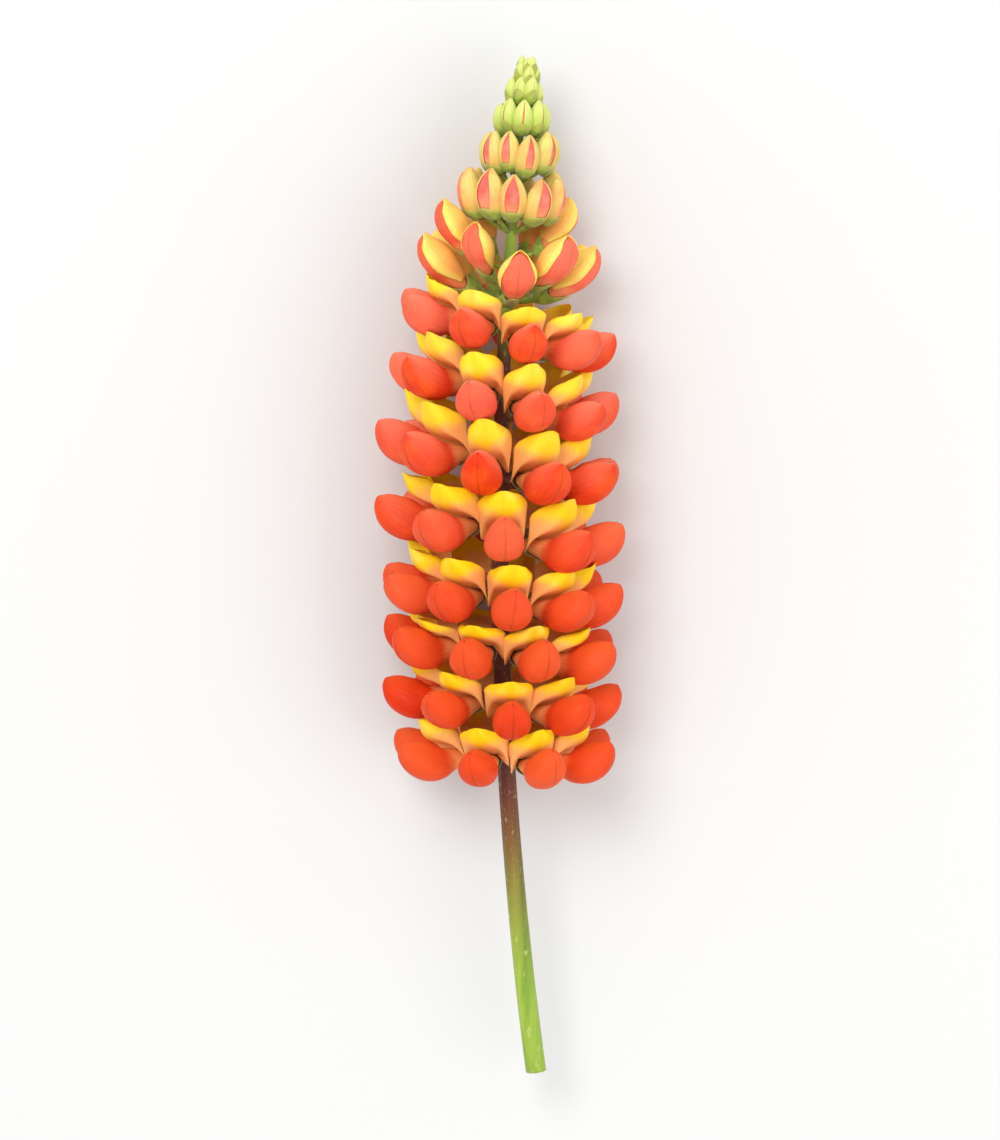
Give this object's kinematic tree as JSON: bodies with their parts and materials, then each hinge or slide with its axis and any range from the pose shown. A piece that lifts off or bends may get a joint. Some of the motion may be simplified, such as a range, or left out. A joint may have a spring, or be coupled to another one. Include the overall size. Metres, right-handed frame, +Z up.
{
  "type": "lupin flower spike",
  "caption": "Picked lupin flower spike lying on its side: whorls of coral and yellow pea florets round the stem, a head of closed buds and a bare stalk.",
  "frame": {"origin": "under the middle of the spike's bounding box, on the surface that the spike lies on", "axes": "+Y along the stem from its cut end to its tip, +Z up from the surface"},
  "size_m": [0.0782, 0.325, 0.071],
  "materials": {
    "stem": "satin",
    "buds": "satin",
    "half_open_florets": "satin",
    "wings": "satin",
    "banners": "satin"
  },
  "bodies": {
    "root": {"stem": "stem", "bud_head": "buds", "opening_whorl": "half_open_florets", "whorl_1_wings": "wings", "whorl_1_banners": "banners", "whorl_2_wings": "wings", "whorl_2_banners": "banners", "whorl_3_wings": "wings", "whorl_3_banners": "banners", "whorl_4_wings": "wings", "whorl_4_banners": "banners", "whorl_5_wings": "wings", "whorl_5_banners": "banners", "whorl_6_wings": "wings", "whorl_6_banners": "banners", "whorl_7_wings": "wings", "whorl_7_banners": "banners", "whorl_8_wings": "wings", "whorl_8_banners": "banners"}
  },
  "joints": []
}
